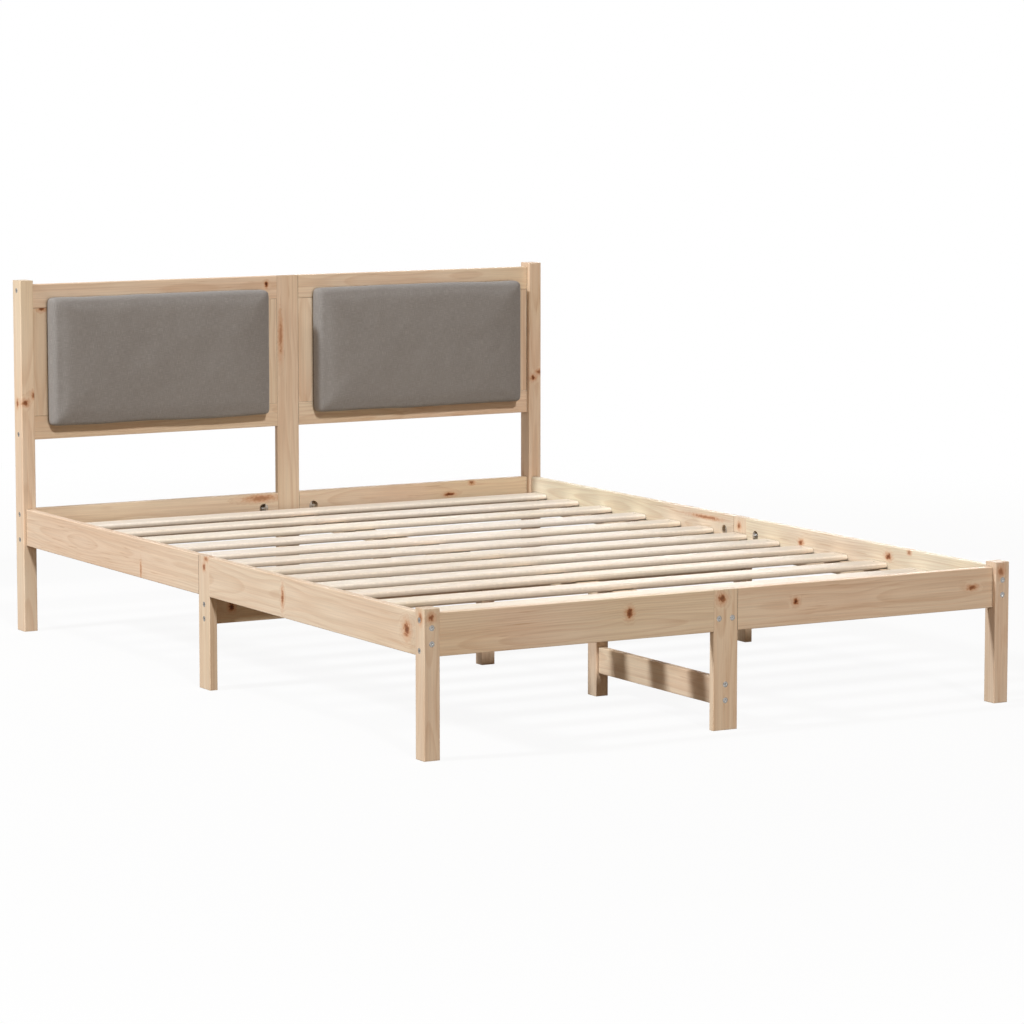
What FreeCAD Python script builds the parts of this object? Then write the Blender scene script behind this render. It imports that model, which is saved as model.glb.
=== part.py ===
import FreeCAD, Part
import math
import os

# A double bed of pine boards with a padded headboard, in millimetres.
# The origin is on the floor under the middle of the bed. +Y runs from the foot to the head, +Z is up,
# and +X is to the right for someone standing at the foot.

Vector = FreeCAD.Vector
RIGHT = Vector(1, 0, 0)
HEADWARD = Vector(0, 1, 0)
UP = Vector(0, 0, 1)

# Whole bed
bed_width = 1455.0
bed_length = 2068.0

# Corner posts and legs
head_post_width = 35.0
head_post_depth = 45.0
head_post_height = 854.0
foot_leg_width = 37.0
foot_leg_depth = 38.0
foot_leg_height = 310.0

# Rails round the mattress
rail_bottom = 210.0
rail_height = 89.0
rail_thickness = 19.0
side_rail_inset = 8.5
foot_rail_inset = 11.0
headboard_inset = 12.0

# Flat legs where two half rails meet
mid_leg_width = 55.0
centre_post_width = 60.0
centre_post_thickness = 16.0

# Headboard frames and their cushions
headboard_drop = 10.0
headboard_height = 377.0
headboard_thickness = 18.0
headboard_rail_height = 58.0
headboard_stile_width = 57.0
cushion_side_margin = 37.5
cushion_margin = 32.5
cushion_crown = 55.0
cushion_edge = 50.0
cushion_draw_in = 3.0
cushion_shoulder = 14.0
cushion_corner = 12.0
cushion_swell = 1.5
cushion_stations = (0, 0.06, 0.25, 0.55, 1, 3, 7)
end_lip = 1.0
cushion_board_thickness = 9.0
cushion_board_margin = 6.0
soft_clearance = 0.3

# Slats and what carries them
slat_drop = 39.0
slat_width = 65.0
slat_thickness = 13.5
slat_end_gap = 0.5
slat_nose = 6.5
slats_each_side = 6
close_foot_slats = 3
close_foot_pitch = 141.0
close_head_slats = 2
close_head_pitch = 148.0
foot_slat_gap = 70.5
head_slat_gap = 12.5
ledger_width = 22.0
ledger_height = 30.0
ledger_end_gap = 1.0

# Beams and legs under the middle of the bed
centre_beam_width = 57.0
centre_beam_thickness = 18.0
cross_beam_bottom = 146.0
cross_beam_height = 57.0
cross_beam_thickness = 19.0
mid_centre_leg_width = 34.0
mid_centre_leg_depth = 30.0
quarter_leg_width = 31.0
quarter_leg_depth = 37.0
quarter_leg_distance = 504.5
stretcher_bottom = 51.0
stretcher_height = 58.0
stretcher_thickness = 18.0

# Rounding of the timber edges
board_round = 2.0
post_round = 3.0
largest_round_share = 0.49

# Socket head screws that hold the boards end to face
screw_head_diameter = 12.0
screw_head_height = 3.5
screw_shank_diameter = 6.5
screw_bite = 40.0
screw_socket_width = 4.0
screw_socket_depth = 2.2
screw_sink = 0.4
side_rail_screw_spacing = 32.5
end_rail_screw_spacing = 62.0
headboard_screw_edge = 14.0
cross_beam_screw_spacing = 32.5
stretcher_screw_spacing = 34.0
centre_beam_screw_spacing = 33.0

# Countersunk wood screws
wood_screw_head_diameter = 7.0
wood_screw_shank_diameter = 3.5
ledger_screw_bite = 14.0
ledger_screw_height = 9.0
ledger_screw_end = 70.0
ledger_screws_per_half = 4
slat_screw_bite = 12.0
slat_screw_inset = 13.0
cushion_screw_bite = 6.0
cushion_screw_edge = 7.0
cushion_screw_end = 60.0
cushion_screws_per_rail = 3
beam_screw_bite = 32.0

# Studs, half-moon washers and nuts in round pockets where two half rails meet
pocket_diameter = 24.0
pocket_depth = 15.0
pocket_offset = 40.0
pocket_rim = 2.5
stud_diameter = 6.0
stud_overhang = 4.0
nut_width = 10.0
nut_thickness = 5.0
washer_flat = 4.5

# Dowels
dowel_diameter = 8.0
dowel_length = 30.0
dowel_pair_spacing = 28.0
dowel_end_gap = 0.5

# Room round every pin, screw and stud in its hole
hole_clearance = 0.15

# Places that follow from the sizes above
half_width = bed_width / 2
foot_y = -bed_length / 2
head_y = bed_length / 2
rail_top = rail_bottom + rail_height
rail_middle = rail_bottom + rail_height / 2
side_rail_outer = half_width - side_rail_inset
side_rail_inner = side_rail_outer - rail_thickness
side_rail_axis = side_rail_outer - rail_thickness / 2
foot_leg_inner = half_width - foot_leg_width
foot_leg_back = foot_y + foot_leg_depth
foot_rail_front = foot_y + foot_rail_inset
foot_rail_back = foot_rail_front + rail_thickness
foot_centre_leg_back = foot_rail_front + centre_post_thickness
head_post_inner = half_width - head_post_width
head_post_front = head_y - head_post_depth
headboard_front = head_post_front + headboard_inset
headboard_back = headboard_front + headboard_thickness
headboard_top = head_post_height - headboard_drop
headboard_bottom = headboard_top - headboard_height
head_rail_back = headboard_front + rail_thickness
head_centre_post_back = headboard_front + centre_post_thickness
centre_post_side = centre_post_width / 2
mid_leg_side = mid_leg_width / 2
slat_top = rail_top - slat_drop
ledger_top = slat_top - slat_thickness
ledger_bottom = ledger_top - ledger_height
ledger_inner = side_rail_inner - ledger_width
slat_end = side_rail_inner - slat_end_gap
first_slat = foot_leg_back + foot_slat_gap + slat_width / 2
last_slat = head_post_front - head_slat_gap - slat_width / 2
centre_beam_bottom = ledger_top - centre_beam_thickness
centre_beam_middle = ledger_top - centre_beam_thickness / 2
cross_beam_middle = cross_beam_bottom + cross_beam_height / 2
mid_centre_leg_side = mid_centre_leg_width / 2
quarter_leg_near = quarter_leg_distance - quarter_leg_depth / 2
quarter_leg_far = quarter_leg_distance + quarter_leg_depth / 2
stretcher_middle = stretcher_bottom + stretcher_height / 2
pocket_height = ledger_top + pocket_rim + pocket_diameter / 2

SIDES = (("left", -1), ("right", 1))
ENDS = (("foot", -1), ("head", 1))

nodes = {}
timber_names = []
joint_screws = []
wood_screws = []
studs = []
washers = []
nuts = []
dowels = []
holes = []


def timber(name, x_span, y_span, z_span, grain, edge=board_round):
    """A straight timber between three pairs of faces, with its four edges along the grain rounded."""
    spans = [sorted(span) for span in (x_span, y_span, z_span)]
    corner = Vector(*[low for low, high in spans])
    size = [high - low for low, high in spans]
    shape = Part.makeBox(*size, corner)
    along = []
    for edge_line in shape.Edges:
        start, end = [vertex.Point for vertex in edge_line.Vertexes]
        if abs((end - start).normalize().dot(grain)) > 0.99:
            along.append(edge_line)
    cross_sides = [length for length, axis in zip(size, (RIGHT, HEADWARD, UP)) if axis != grain]
    radius = min(edge, largest_round_share * min(cross_sides))
    nodes[name] = shape.makeFillet(radius, along)
    timber_names.append(name)


def pointed(shape, place, direction):
    """The shape, drawn along +Z from the origin, moved to a place and turned along a direction."""
    moved = shape.copy()
    moved.Placement = FreeCAD.Placement(place, FreeCAD.Rotation(UP, direction))
    return moved


def hexagon(width, height, base):
    """A six-sided prism along +Z, given its width across the flats."""
    radius = width / 2 / math.cos(math.pi / 6)
    corners = []
    for i in range(7):
        angle = i * math.pi / 3
        corners.append(Vector(radius * math.cos(angle), radius * math.sin(angle), base))
    return Part.Face(Part.makePolygon(corners)).extrude(Vector(0, 0, height))


def add_joint_screw(place, direction, through):
    """A socket head screw, sunk just under the face at a place, that bites past the board it goes through."""
    length = through + screw_bite
    head_end = screw_sink + screw_head_height
    head = Part.makeCylinder(screw_head_diameter / 2, screw_head_height, Vector(0, 0, screw_sink))
    shank = Part.makeCylinder(screw_shank_diameter / 2, length - head_end, Vector(0, 0, head_end))
    socket = hexagon(screw_socket_width, screw_socket_depth, screw_sink)
    joint_screws.append(pointed(head.fuse(shank).cut(socket), place, direction))
    bore = Part.makeCylinder(screw_shank_diameter / 2 + hole_clearance, length + hole_clearance)
    sink = Part.makeCylinder(screw_head_diameter / 2 + hole_clearance, head_end)
    holes.append(pointed(bore.fuse(sink), place, direction))


def countersunk(grow, length):
    """A countersunk screw along +Z, or with some growth the hole for it."""
    head = wood_screw_head_diameter / 2 + grow
    shank = wood_screw_shank_diameter / 2 + grow
    cone = Part.makeCone(head, shank, head - shank)
    return cone.fuse(Part.makeCylinder(shank, length + grow))


def add_wood_screw(place, direction, through, bite):
    """A countersunk screw with its head flush at a place."""
    wood_screws.append(pointed(countersunk(0, through + bite), place, direction))
    holes.append(pointed(countersunk(hole_clearance, through + bite), place, direction))


def add_dowel(joint, direction):
    """A wooden dowel that lies half on each side of a joint face."""
    half = dowel_length / 2
    start = joint - direction * half
    dowels.append(pointed(Part.makeCylinder(dowel_diameter / 2, dowel_length), start, direction))
    bore = Part.makeCylinder(dowel_diameter / 2 + hole_clearance, dowel_length + 2 * dowel_end_gap)
    holes.append(pointed(bore, start - direction * dowel_end_gap, direction))


def add_stud_joint(middle, along, outward, joint_width):
    """A threaded stud through the leg between two half rails, with a washer and nut in a pocket at each end.

    The middle lies on the inner face of the rails, and outward points from there into the wood.
    """
    axis = middle + outward * (pocket_depth / 2)
    reach = joint_width / 2 + pocket_offset
    half_stud = reach + stud_overhang
    start = axis - along * half_stud
    studs.append(pointed(Part.makeCylinder(stud_diameter / 2, 2 * half_stud), start, along))
    bore = Part.makeCylinder(stud_diameter / 2 + hole_clearance, 2 * half_stud)
    holes.append(pointed(bore, start, along))
    for way in (along, along * -1):
        add_pocket(middle + way * reach, way * -1, outward)


def add_pocket(centre, to_joint, outward):
    """A round pocket in the inner face of a rail, and the half-moon washer and nut that lie in it."""
    holes.append(pointed(Part.makeCylinder(pocket_diameter / 2, pocket_depth), centre, outward))
    washer_radius = pocket_diameter / 2 - hole_clearance
    washer_depth = pocket_depth - 2 * hole_clearance
    disc = pointed(Part.makeCylinder(washer_radius, washer_depth), centre + outward * hole_clearance, outward)
    stud_axis = centre + outward * (pocket_depth / 2)
    seat = stud_axis + to_joint * washer_flat
    stud_bore = Part.makeCylinder(stud_diameter / 2 + hole_clearance, pocket_diameter)
    far_half = pointed(Part.makeCylinder(pocket_diameter, pocket_diameter), seat, to_joint)
    washers.append(disc.common(far_half).cut(pointed(stud_bore, stud_axis, to_joint)))
    nut = hexagon(nut_width, nut_thickness, 0)
    thread = Part.makeCylinder(stud_diameter / 2 + hole_clearance, nut_thickness)
    nuts.append(pointed(nut.cut(thread), seat - to_joint * nut_thickness, to_joint))


def head_posts():
    """The two tall posts at the head."""
    for side, sign in SIDES:
        x_span = (sign * head_post_inner, sign * half_width)
        timber("head_post_" + side, x_span, (head_post_front, head_y), (0, head_post_height), UP, post_round)


def foot_legs():
    """The two corner legs at the foot."""
    for side, sign in SIDES:
        x_span = (sign * foot_leg_inner, sign * half_width)
        timber("foot_leg_" + side, x_span, (foot_y, foot_leg_back), (0, foot_leg_height), UP, post_round)


def flat_legs():
    """The flat legs that stand between the half rails at the head, the foot and both sides."""
    across = (-centre_post_side, centre_post_side)
    timber("head_centre_post", across, (headboard_front, head_centre_post_back), (0, headboard_top), UP)
    timber("foot_centre_leg", across, (foot_rail_front, foot_centre_leg_back), (0, rail_top), UP)
    for side, sign in SIDES:
        x_span = (sign * side_rail_inner, sign * side_rail_outer)
        timber("mid_leg_" + side, x_span, (-mid_leg_side, mid_leg_side), (0, rail_top), UP)


def rails():
    """The eight half rails round the mattress, with their end screws and middle studs."""
    height = (rail_bottom, rail_top)
    for side, sign in SIDES:
        head_span = (sign * head_post_inner, sign * centre_post_side)
        foot_span = (sign * foot_leg_inner, sign * centre_post_side)
        timber("head_rail_" + side, head_span, (headboard_front, head_rail_back), height, RIGHT)
        timber("foot_rail_" + side, foot_span, (foot_rail_front, foot_rail_back), height, RIGHT)
        x_span = (sign * side_rail_inner, sign * side_rail_outer)
        timber("side_rail_{}_foot".format(side), x_span, (foot_leg_back, -mid_leg_side), height, HEADWARD)
        timber("side_rail_{}_head".format(side), x_span, (mid_leg_side, head_post_front), height, HEADWARD)
        middle = Vector(sign * side_rail_inner, 0, pocket_height)
        add_stud_joint(middle, HEADWARD, RIGHT * sign, mid_leg_width)
        for step in (-0.5, 0.5):
            z = rail_middle + step * end_rail_screw_spacing
            inward = RIGHT * -sign
            head_axis = headboard_front + rail_thickness / 2
            add_joint_screw(Vector(sign * half_width, head_axis, z), inward, head_post_width)
            foot_axis = foot_rail_front + rail_thickness / 2
            add_joint_screw(Vector(sign * half_width, foot_axis, z), inward, foot_leg_width)
            z = rail_middle + step * side_rail_screw_spacing
            add_joint_screw(Vector(sign * side_rail_axis, foot_y, z), HEADWARD, foot_leg_depth)
            add_joint_screw(Vector(sign * side_rail_axis, head_y, z), HEADWARD * -1, head_post_depth)
    add_stud_joint(Vector(0, headboard_front, pocket_height), RIGHT, HEADWARD, centre_post_width)
    add_stud_joint(Vector(0, foot_rail_back, pocket_height), RIGHT, HEADWARD * -1, centre_post_width)


def headboard_frame(side, sign):
    """One headboard frame: two rails with two stiles between them, joined by dowels."""
    depth = (headboard_front, headboard_back)
    across = (sign * head_post_inner, sign * centre_post_side)
    inner_bottom = headboard_bottom + headboard_rail_height
    inner_top = headboard_top - headboard_rail_height
    prefix = "headboard_{}_".format(side)
    timber(prefix + "top_rail", across, depth, (inner_top, headboard_top), RIGHT)
    timber(prefix + "bottom_rail", across, depth, (headboard_bottom, inner_bottom), RIGHT)
    outer = (across[0], across[0] - sign * headboard_stile_width)
    inner = (across[1], across[1] + sign * headboard_stile_width)
    axis = headboard_front + headboard_thickness / 2
    for name, x_span in (("outer_stile", outer), ("inner_stile", inner)):
        timber(prefix + name, x_span, depth, (inner_bottom, inner_top), UP)
        for z in (inner_bottom, inner_top):
            for step in (-0.5, 0.5):
                add_dowel(Vector(sum(x_span) / 2 + step * dowel_pair_spacing, axis, z), UP)
    post_axis = headboard_front + min(headboard_thickness, centre_post_thickness) / 2
    for z in (headboard_bottom + headboard_rail_height / 2, headboard_top - headboard_rail_height / 2):
        add_dowel(Vector(sign * centre_post_side, post_axis, z), RIGHT)
    for z in (headboard_bottom + headboard_screw_edge, headboard_top - headboard_screw_edge):
        add_joint_screw(Vector(sign * half_width, axis, z), RIGHT * -sign, head_post_width)


def quarter(inset, radius):
    """Height of a quarter round, as a share of its radius, at this inset from where it starts."""
    along = min(1.0, inset / radius)
    return math.sqrt(1 - (1 - along) ** 2)


def cushion_section(x, half_height, edge, crown):
    """One upright slice of a cushion: flat back, upright sides, rounded shoulders and a bowed front."""
    back = headboard_front - soft_clearance
    middle = headboard_bottom + headboard_height / 2
    wall = cushion_edge - cushion_shoulder
    turn = half_height - cushion_shoulder
    diagonal = math.sqrt(0.5)
    bend = (wall + (edge - wall) * diagonal, turn + cushion_shoulder * diagonal)
    swell = half_height + cushion_swell

    def point(forward, up):
        return Vector(x, back - forward, middle + up)

    lines = [
        Part.LineSegment(point(0, half_height), point(0, -half_height)),
        Part.Arc(point(0, -half_height), point(wall / 2, -swell), point(wall, -half_height)),
        Part.Arc(point(wall, -half_height), point(bend[0], -bend[1]), point(edge, -turn)),
        Part.Arc(point(edge, -turn), point(crown, 0), point(edge, turn)),
        Part.Arc(point(edge, turn), point(bend[0], bend[1]), point(wall, half_height)),
        Part.Arc(point(wall, half_height), point(wall / 2, swell), point(0, half_height)),
    ]
    return Part.Wire([line.toShape() for line in lines])


def cushion(side, sign):
    """A padded cushion on the front of a headboard frame, crowned, with its long sides drawn in."""
    middle = sign * (head_post_inner + centre_post_side) / 2
    half_length = (head_post_inner - centre_post_side) / 2 - cushion_side_margin
    half_height = headboard_height / 2 - cushion_margin
    wall = cushion_edge - cushion_shoulder
    rise = cushion_crown - cushion_edge
    half_sections = []
    for share in cushion_stations:
        inset = share * cushion_shoulder
        inward = math.sin(inset / half_length * math.pi / 2)
        edge = wall + end_lip + (cushion_shoulder - end_lip) * quarter(inset, cushion_shoulder)
        crown = edge + end_lip + (rise - end_lip) * inward
        corner = cushion_corner * (1 - quarter(inset, cushion_corner))
        height = half_height - corner - cushion_draw_in * inward
        half_sections.append((half_length - inset, height, edge, crown))
    near = [(-reach, *sizes) for reach, *sizes in half_sections]
    centre = [(0, half_height - cushion_draw_in, cushion_edge, cushion_crown)]
    sections = near + centre + list(reversed(half_sections))
    wires = [cushion_section(middle + offset, *sizes) for offset, *sizes in sections]
    board_half_length = half_length - cushion_board_margin
    board_half_height = half_height - cushion_board_margin
    board_middle = headboard_bottom + headboard_height / 2
    x_span = (middle - board_half_length, middle + board_half_length)
    z_span = (board_middle - board_half_height, board_middle + board_half_height)
    board_front = headboard_front - cushion_board_thickness
    timber("cushion_board_" + side, x_span, (board_front, headboard_front), z_span, RIGHT)
    pocket = Part.makeBox(
        2 * (board_half_length + soft_clearance), cushion_board_thickness + soft_clearance,
        2 * (board_half_height + soft_clearance),
        Vector(x_span[0] - soft_clearance, board_front - soft_clearance, z_span[0] - soft_clearance))
    nodes["cushion_" + side] = Part.makeLoft(wires, True, True).cut(pocket)
    cushion_screws(x_span)


def cushion_screws(board_span):
    """Screws from the back of a headboard frame into the board inside the cushion."""
    start = board_span[0] + cushion_screw_end
    pitch = (board_span[1] - board_span[0] - 2 * cushion_screw_end) / (cushion_screws_per_rail - 1)
    low = headboard_bottom + headboard_rail_height - cushion_screw_edge
    high = headboard_top - headboard_rail_height + cushion_screw_edge
    for i in range(cushion_screws_per_rail):
        for z in (low, high):
            place = Vector(start + i * pitch, headboard_back, z)
            add_wood_screw(place, HEADWARD * -1, headboard_thickness, cushion_screw_bite)


def ledgers():
    """The strips on the inner faces of the side rails that carry the slats."""
    height = (ledger_bottom, ledger_top)
    for side, sign in SIDES:
        x_span = (sign * ledger_inner, sign * side_rail_inner)
        for end, way in ENDS:
            stop = foot_leg_back + ledger_end_gap if way < 0 else head_post_front - ledger_end_gap
            timber("ledger_{}_{}".format(side, end), x_span, (0, stop), height, HEADWARD)
            reach = abs(stop) - 2 * ledger_screw_end
            for i in range(ledger_screws_per_half):
                y = way * (ledger_screw_end + reach * i / (ledger_screws_per_half - 1))
                place = Vector(sign * ledger_inner, y, ledger_bottom + ledger_screw_height)
                add_wood_screw(place, RIGHT * sign, ledger_width, ledger_screw_bite)


def slat_places():
    """Middles of the slats along the bed, from the foot to the head, closer together beside the middle one."""
    places = [0]
    foot = (-1, first_slat, close_foot_slats, close_foot_pitch)
    head = (1, last_slat, close_head_slats, close_head_pitch)
    for way, end, close_slats, close_pitch in (foot, head):
        wide_pitch = (abs(end) - close_slats * close_pitch) / (slats_each_side - close_slats)
        for i in range(1, slats_each_side + 1):
            close = min(i, close_slats)
            places.append(way * (close * close_pitch + (i - close) * wide_pitch))
    return sorted(places)


def slats():
    """The slats, screwed to the ledgers at both ends."""
    for number, y in enumerate(slat_places(), 1):
        name = "slat_{:02d}".format(number)
        y_span = (y - slat_width / 2, y + slat_width / 2)
        timber(name, (-slat_end, slat_end), y_span, (ledger_top, slat_top), RIGHT, slat_nose)
        for side, sign in SIDES:
            place = Vector(sign * (slat_end - slat_screw_inset), y, slat_top)
            add_wood_screw(place, UP * -1, slat_thickness, slat_screw_bite)


def cross_beams():
    """The two half beams across the middle of the bed, and the leg that they meet at."""
    leg = mid_centre_leg_side
    depth = mid_centre_leg_depth / 2
    timber("mid_centre_leg", (-leg, leg), (-depth, depth), (0, centre_beam_bottom), UP)
    half = cross_beam_thickness / 2
    height = (cross_beam_bottom, cross_beam_bottom + cross_beam_height)
    for side, sign in SIDES:
        timber("cross_beam_" + side, (sign * side_rail_inner, sign * leg), (-half, half), height, RIGHT)
        for step in (-0.5, 0.5):
            z = cross_beam_middle + step * cross_beam_screw_spacing
            add_joint_screw(Vector(sign * side_rail_outer, 0, z), RIGHT * -sign, rail_thickness)
            add_dowel(Vector(sign * leg, 0, cross_beam_middle + step * dowel_pair_spacing), RIGHT)


def centre_beams():
    """The flat beam under the slats, in two halves, and the stretcher and quarter leg below each half."""
    half = centre_beam_width / 2
    leg = quarter_leg_width / 2
    thin = stretcher_thickness / 2
    for end, way in ENDS:
        inner_face = foot_centre_leg_back if way < 0 else headboard_front
        outer_face = foot_rail_front if way < 0 else head_centre_post_back
        inward = HEADWARD * -way
        beam_height = (centre_beam_bottom, ledger_top)
        timber("centre_beam_" + end, (-half, half), (0, inner_face), beam_height, HEADWARD)
        span = (way * quarter_leg_near, way * quarter_leg_far)
        timber("quarter_leg_" + end, (-leg, leg), span, (0, centre_beam_bottom), UP)
        height = (stretcher_bottom, stretcher_bottom + stretcher_height)
        timber("stretcher_" + end, (-thin, thin), (way * quarter_leg_far, inner_face), height, HEADWARD)
        for step in (-0.5, 0.5):
            place = Vector(step * centre_beam_screw_spacing, outer_face, centre_beam_middle)
            add_joint_screw(place, inward, centre_post_thickness)
            z = stretcher_middle + step * stretcher_screw_spacing
            add_joint_screw(Vector(0, outer_face, z), inward, centre_post_thickness)
            add_joint_screw(Vector(0, way * quarter_leg_near, z), HEADWARD * way, quarter_leg_depth)
        for y in (way * mid_centre_leg_depth / 4, way * quarter_leg_distance):
            add_wood_screw(Vector(0, y, ledger_top), UP * -1, centre_beam_thickness, beam_screw_bite)


def bore_timbers():
    """Cuts into each timber the holes and pockets that reach it."""
    for name in timber_names:
        reach = nodes[name].BoundBox
        tools = [hole for hole in holes if hole.BoundBox.intersect(reach)]
        if tools:
            nodes[name] = nodes[name].cut(tools)


head_posts()
foot_legs()
flat_legs()
rails()
for side_name, side_sign in SIDES:
    headboard_frame(side_name, side_sign)
    cushion(side_name, side_sign)
ledgers()
slats()
cross_beams()
centre_beams()
bore_timbers()
for group, solids in (("joint_screws", joint_screws), ("wood_screws", wood_screws), ("rail_studs", studs),
                      ("half_moon_washers", washers), ("stud_nuts", nuts), ("dowels", dowels)):
    nodes[group] = Part.makeCompound(solids)

os.makedirs("parts", exist_ok=True)
for node_name, node_shape in nodes.items():
    node_shape.exportStep("parts/" + node_name + ".step")
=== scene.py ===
"""Pine double bed with a padded linen headboard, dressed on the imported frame."""

import math
import random

import bmesh
import bpy
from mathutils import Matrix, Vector, noise


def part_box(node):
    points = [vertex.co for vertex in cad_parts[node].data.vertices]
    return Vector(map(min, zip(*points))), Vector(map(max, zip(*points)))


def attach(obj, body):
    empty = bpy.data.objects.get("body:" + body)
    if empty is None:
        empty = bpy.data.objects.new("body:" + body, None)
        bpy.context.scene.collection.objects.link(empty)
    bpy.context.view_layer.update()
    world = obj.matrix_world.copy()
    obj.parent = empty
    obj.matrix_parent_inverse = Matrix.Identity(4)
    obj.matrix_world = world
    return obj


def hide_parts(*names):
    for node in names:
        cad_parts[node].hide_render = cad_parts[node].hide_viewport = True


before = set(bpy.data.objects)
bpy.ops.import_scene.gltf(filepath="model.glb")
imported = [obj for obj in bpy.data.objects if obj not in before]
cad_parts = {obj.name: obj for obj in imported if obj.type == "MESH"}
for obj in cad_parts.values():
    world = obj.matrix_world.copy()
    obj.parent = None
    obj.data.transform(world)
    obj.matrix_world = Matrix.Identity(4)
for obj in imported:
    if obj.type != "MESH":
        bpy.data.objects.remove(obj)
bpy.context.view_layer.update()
scene = bpy.context.scene

# Camera, in metres and degrees.
CAMERA_PLACE = (-4.6863, -8.2641, 1.5111)
CAMERA_TURN = 29.93
CAMERA_DIP = 6.945
CAMERA_LENS = 145.93
SENSOR_WIDTH = 36.0
CAMERA_REACH = 100.0

# Light: the sky, a round lamp high on the left (place, power, width in metres, colour), and for each
# far lamp the direction that it lies in, its level, width in degrees and colour.
SKY_LEVEL = 0.12
SKY_TINT = (1.0, 0.62, 0.40, 1.0)
WHITE = (1.0, 1.0, 1.0, 1.0)
LEFT_LAMP = ((-8.3, 0.45, 6.4), 800.0, 1.1, (0.96, 1.0, 1.03))
FAR_LAMPS = {
    "front_lamp": ((-0.18, -0.83, 0.52), 1.54, 5.0, (1.0, 0.99, 0.97)),
    "front_fill": ((0.05, -0.98, 0.15), 0.22, 60.0, (1.0, 0.82, 0.64)),
    "top_fill": ((0.0, 0.3, 0.95), 0.28, 60.0, (1.0, 1.0, 1.0)),
    "left_fill": ((-0.98, 0.10, 0.06), 0.36, 40.0, (1.0, 0.98, 0.95)),
    "back_lamp": ((0.66, 0.75, 0.02), 1.9, 30.0, (1.0, 0.98, 0.95)),
}
FAR_LAMP_DISTANCE = 6.0

# Floor: its size and its drop below the feet in metres, its pale tone to the eye, its duller tone to the
# light, how much of its glow shiny pieces mirror, the share of its white glow near the bed, and the
# distances between which the glow becomes full.
FLOOR_SIZE = 60.0
FLOOR_DROP = 0.001
FLOOR_TONE = (0.8, 0.8, 0.8, 1.0)
FLOOR_BOUNCE = (0.25, 0.20, 0.15, 1.0)
FLOOR_SHEEN = 0.5
FLOOR_GLOW = 0.92
FLOOR_FADE = (2.2, 4.5)

# How the colour of some boards differs from the rest: partly their own tone, partly painted light that lifts
# boards the lamps leave too dim or too warm, such as the head slats and the inner face of the right rail.
BOARD_TONES_AND_PAINTED_LIGHT = {
    "side_rail_right_foot": (1.00, 1.10, 1.18),
    "side_rail_right_head": (0.95, 1.04, 1.10),
    "mid_leg_right": (0.98, 1.02, 1.04),
    "headboard_left_outer": (0.93, 0.89, 0.85),
    "headboard_left_bottom": (0.94, 0.91, 0.87),
    "foot_centre_leg": (1.03, 1.07, 1.06),
    "foot_rail_right": (1.03, 1.03, 1.02),
    "slat_08": (1.03, 1.04, 1.05),
    "slat_09": (1.04, 1.05, 1.07),
    "slat_1": (1.05, 1.07, 1.10),
}

# The letters name the axes along the grain, across the board and through it.
GRAIN_AXES = {
    "head_post": "ZXY",
    "head_centre_post": "ZXY",
    "foot_leg": "ZXY",
    "foot_centre_leg": "ZXY",
    "mid_leg": "ZYX",
    "mid_centre_leg": "ZXY",
    "quarter_leg": "ZXY",
    "head_rail": "XZY",
    "foot_rail": "XZY",
    "side_rail": "YZX",
    "headboard_left_top": "XZY",
    "headboard_right_top": "XZY",
    "headboard_left_bottom": "XZY",
    "headboard_right_bottom": "XZY",
    "headboard_left_outer": "ZXY",
    "headboard_right_outer": "ZXY",
    "headboard_left_inner": "ZXY",
    "headboard_right_inner": "ZXY",
    "ledger": "YZX",
    "centre_beam": "YXZ",
    "cross_beam": "XZY",
    "stretcher": "YZX",
    "slat": "XYZ",
}

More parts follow.
